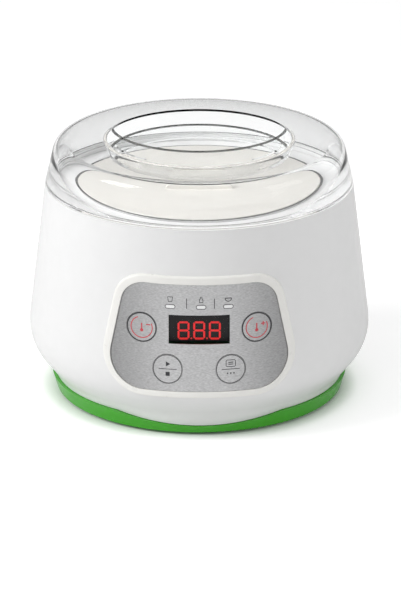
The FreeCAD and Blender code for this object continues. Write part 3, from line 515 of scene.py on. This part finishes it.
# marks on the panel: outlines of the indicators, dividers, and a cup, a bottle and a half-disc over the indicators
LENS_RING = (5.95, 2.35)
DIVIDERS_X, DIVIDER_LOW, DIVIDER_TOP, DIVIDER_LINE = (-7.8, 9.4), 90, 96.4, 0.45
ICON_Z, ICON_LINE, BOTTLE_LINE = 95.6, 0.5, 0.46
CUP = [(-1.5, 1.5), (-1.1, -1.5), (1.1, -1.5), (1.5, 1.5)]
BOTTLE = [(-0.5, 1.8), (-0.5, 0.7), (-1.1, 0), (-1.1, -1.6), (1.1, -1.6), (1.1, 0), (0.5, 0.7), (0.5, 1.8)]
HALF_DISC = arc(0, 0.7, 2, 180, 360, 16)
panel_marks = [stroke(pill(x, z, *LENS_RING), ICON_LINE, True) for x, z in LENSES]
panel_marks += [line((x, DIVIDER_LOW), (x, DIVIDER_TOP), DIVIDER_LINE) for x in DIVIDERS_X]
panel_marks += [stroke(moved(icon, x, ICON_Z), width, True) for (x, _), icon, width in zip(
    LENSES, (CUP, BOTTLE, HALF_DISC), (ICON_LINE, BOTTLE_LINE, ICON_LINE))]
printed("panel_marks", panel_marks, INK, PANEL_RISE, "housing")


# lit segments with mitred ends, and dots between the digits
BAR, BAR_GAP = 1.22, 0.2
DOT_RADIUS, DOT_RISE, DOT_STEPS = 0.5, 0.7, 16


def segment(x0, z0, x1, z1):
    """Outline of a bar with pointed ends."""
    a, b = Vector((x0, z0)), Vector((x1, z1))
    tip = (b - a).normalized() * (BAR / 2)
    side = Vector((-tip.y, tip.x))
    return [a, a + tip - side, b - tip - side, b, b - tip + side, a + tip + side]


def digit_outlines():
    """Outlines of the bars and dots of three digits."""
    half_x, half_z = (DIGIT_WIDTH - BAR) / 2, (DIGIT_HEIGHT - BAR) / 2
    out = []
    for digit in (-1, 0, 1):
        middle = digit * DIGIT_PITCH
        left, right = middle - half_x, middle + half_x
        for z in (DIGIT_Z - half_z, DIGIT_Z, DIGIT_Z + half_z):
            out.append(segment(left + BAR_GAP, z, right - BAR_GAP, z))
        for x in (left, right):
            for low in (DIGIT_Z - half_z, DIGIT_Z):
                out.append(segment(x, low + BAR_GAP, x, low + half_z - BAR_GAP))
        if digit < 1:
            out.append(arc(middle + DIGIT_PITCH / 2, DIGIT_Z - DIGIT_HEIGHT / 2 + DOT_RISE, DOT_RADIUS,
                           steps=DOT_STEPS))
    return out


def plates(outlines, front, back):
    """Flat solids between two depths."""
    verts, faces = [], []
    for loop in outlines:
        base, size = len(verts), len(loop)
        verts += [(x, y, z) for y in (front, back) for x, z in loop]
        faces.append([base + k for k in range(size)])
        faces.append([base + 2 * size - 1 - k for k in range(size)])
        faces += [[base + k, base + size + k, base + size + (k + 1) % size, base + (k + 1) % size]
                  for k in range(size)]
    return verts, faces


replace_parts(piece("lit_digits", *plates(digit_outlines(), DIGIT_FACE, DIGIT_BACK), LOOKS["red"], "housing", "red",
                  False), "display_digits")

# camera at the photograph's angle; focal length and shift in pixels of the 401 x 601 image
ELEVATION, DISTANCE, AIM = math.radians(19.8), 2.4, Vector((0, 0, 0.085))
PIXELS, FOCAL, SHIFT_X, SHIFT_Y, SENSOR = 601, 3720.9, 1.3, -42.2, 36
camera = bpy.data.cameras.new("camera")
camera.sensor_width = SENSOR
camera.lens = FOCAL * SENSOR / PIXELS
camera.shift_x, camera.shift_y = SHIFT_X / PIXELS, SHIFT_Y / PIXELS
eye = bpy.data.objects.new("camera", camera)
eye.location = AIM + Vector((0, -math.cos(ELEVATION), math.sin(ELEVATION))) * DISTANCE
scene.camera = eye
scene.view_settings.view_transform = "Standard"


def aimed(obj):
    """Puts a camera or lamp in the scene, turned towards the object's middle."""
    obj.rotation_mode = "QUATERNION"
    obj.rotation_quaternion = (AIM - obj.location).to_track_quat("-Z", "Y")
    scene.collection.objects.link(obj)


aimed(eye)

# pale floor that keeps the shadow
FLOOR_HALF = 6
floor_mesh = bpy.data.meshes.new("floor")
floor_mesh.from_pydata([(x * FLOOR_HALF, y * FLOOR_HALF, 0) for x, y in ((-1, -1), (1, -1), (1, 1), (-1, 1))], [],
                       [[0, 1, 2, 3]])
floor = bpy.data.objects.new("floor", floor_mesh)
scene.collection.objects.link(floor)

# the floor glows to the camera and through clear plastic, and less in reflections; the glow rises towards the horizon,
# where the lamps no longer reach, and falls off close under the object, which paints a contact shadow there
FLOOR_COLOUR = (0.88, 0.88, 0.88, 1)
GLOSSY_SHARE = 0.25
GLOW_REACH, GLOW_STRENGTH = (1.0, 2.6), (0.4, 0.85)
CONTACT_REACH, CONTACT_SAMPLES, CONTACT_POWER = 0.011, 12, 2
ground = bpy.data.materials.new("floor_white")
ground.use_nodes = True
tree = ground.node_tree
tree.nodes.clear()
rays = node(tree, "ShaderNodeLightPath").outputs
direct = maths(tree, "MAXIMUM", rays["Is Camera Ray"], rays["Is Transmission Ray"])
seen = maths(tree, "MAXIMUM", direct, maths(tree, "MULTIPLY", rays["Is Glossy Ray"], GLOSSY_SHARE))
away = node(tree, "ShaderNodeVectorMath", operation="LENGTH")
tree.links.new(node(tree, "ShaderNodeNewGeometry").outputs["Position"], away.inputs[0])
power = maths(tree, "MULTIPLY", seen, map_range(tree, away.outputs["Value"], GLOW_REACH, GLOW_STRENGTH))
near = node(tree, "ShaderNodeAmbientOcclusion", samples=CONTACT_SAMPLES, Distance=CONTACT_REACH)
strength = maths(tree, "MULTIPLY", power, maths(tree, "POWER", near.outputs["AO"], CONTACT_POWER))
matte = node(tree, "ShaderNodeBsdfDiffuse", Color=FLOOR_COLOUR)
glow = node(tree, "ShaderNodeEmission", Color=WHITE)
total = node(tree, "ShaderNodeAddShader")
out = node(tree, "ShaderNodeOutputMaterial")
tree.links.new(strength, glow.inputs["Strength"])
tree.links.new(matte.outputs[0], total.inputs[0])
tree.links.new(glow.outputs[0], total.inputs[1])
tree.links.new(total.outputs[0], out.inputs["Surface"])
floor_mesh.materials.append(ground)


def greys(*stops):
    """Stops of a colour ramp from positions and shades of grey."""
    return [(position, (shade, shade, shade)) for position, shade in stops]


# studio sky: white to the camera; to the object a little brighter on the left, with a dark band overhead and a dark
# back, which draw the lid's edges
SKY_HEIGHT = greys((0.5, 1), (0.74, 1), (0.79, 0.12), (0.89, 0.12), (0.93, 1), (1, 1))
SKY_DEPTH = greys((0, 0.78), (0.12, 0.76), (0.3, 0.68), (0.5, 0.95), (0.66, 0.7), (0.8, 0.3), (1, 0.3))
SKY_SIDES = (1.0, 0.85)
WHOLE, SHARE = (-1, 1), (0, 1)
world = bpy.data.worlds.new("studio")
world.use_nodes = True
scene.world = world
tree = world.node_tree
tree.nodes.clear()
axes = node(tree, "ShaderNodeSeparateXYZ")
tree.links.new(node(tree, "ShaderNodeTexCoord").outputs["Generated"], axes.inputs[0])
height = colour_ramp(tree, map_range(tree, axes.outputs["Z"], WHOLE, SHARE), SKY_HEIGHT)
depth = colour_ramp(tree, map_range(tree, axes.outputs["Y"], WHOLE, SHARE), SKY_DEPTH)
sky = node(tree, "ShaderNodeBackground")
white = node(tree, "ShaderNodeBackground", Color=WHITE, Strength=1.0)
rays = node(tree, "ShaderNodeLightPath").outputs
pick = node(tree, "ShaderNodeMixShader")
out = node(tree, "ShaderNodeOutputWorld")
tree.links.new(multiplied(tree, height, depth), sky.inputs["Color"])
tree.links.new(map_range(tree, axes.outputs["X"], WHOLE, SKY_SIDES), sky.inputs["Strength"])
tree.links.new(rays["Is Camera Ray"], pick.inputs["Fac"])
tree.links.new(sky.outputs[0], pick.inputs[1])
tree.links.new(white.outputs[0], pick.inputs[2])
tree.links.new(pick.outputs[0], out.inputs["Surface"])

# lamps: place and size in metres, and watts
LAMPS = {"key": ((-1.55, -0.55, 1.2), 0.9, 21), "top": ((0.1, 0.2, 1.9), 1.0, 4.5), "fill": ((1.35, -0.5, 0.7), 0.8, 4)}
for name, (spot, size, watts) in LAMPS.items():
    light = bpy.data.lights.new(name, "AREA")
    light.size, light.energy = size, watts
    lamp = bpy.data.objects.new(name, light)
    lamp.location = spot
    aimed(lamp)
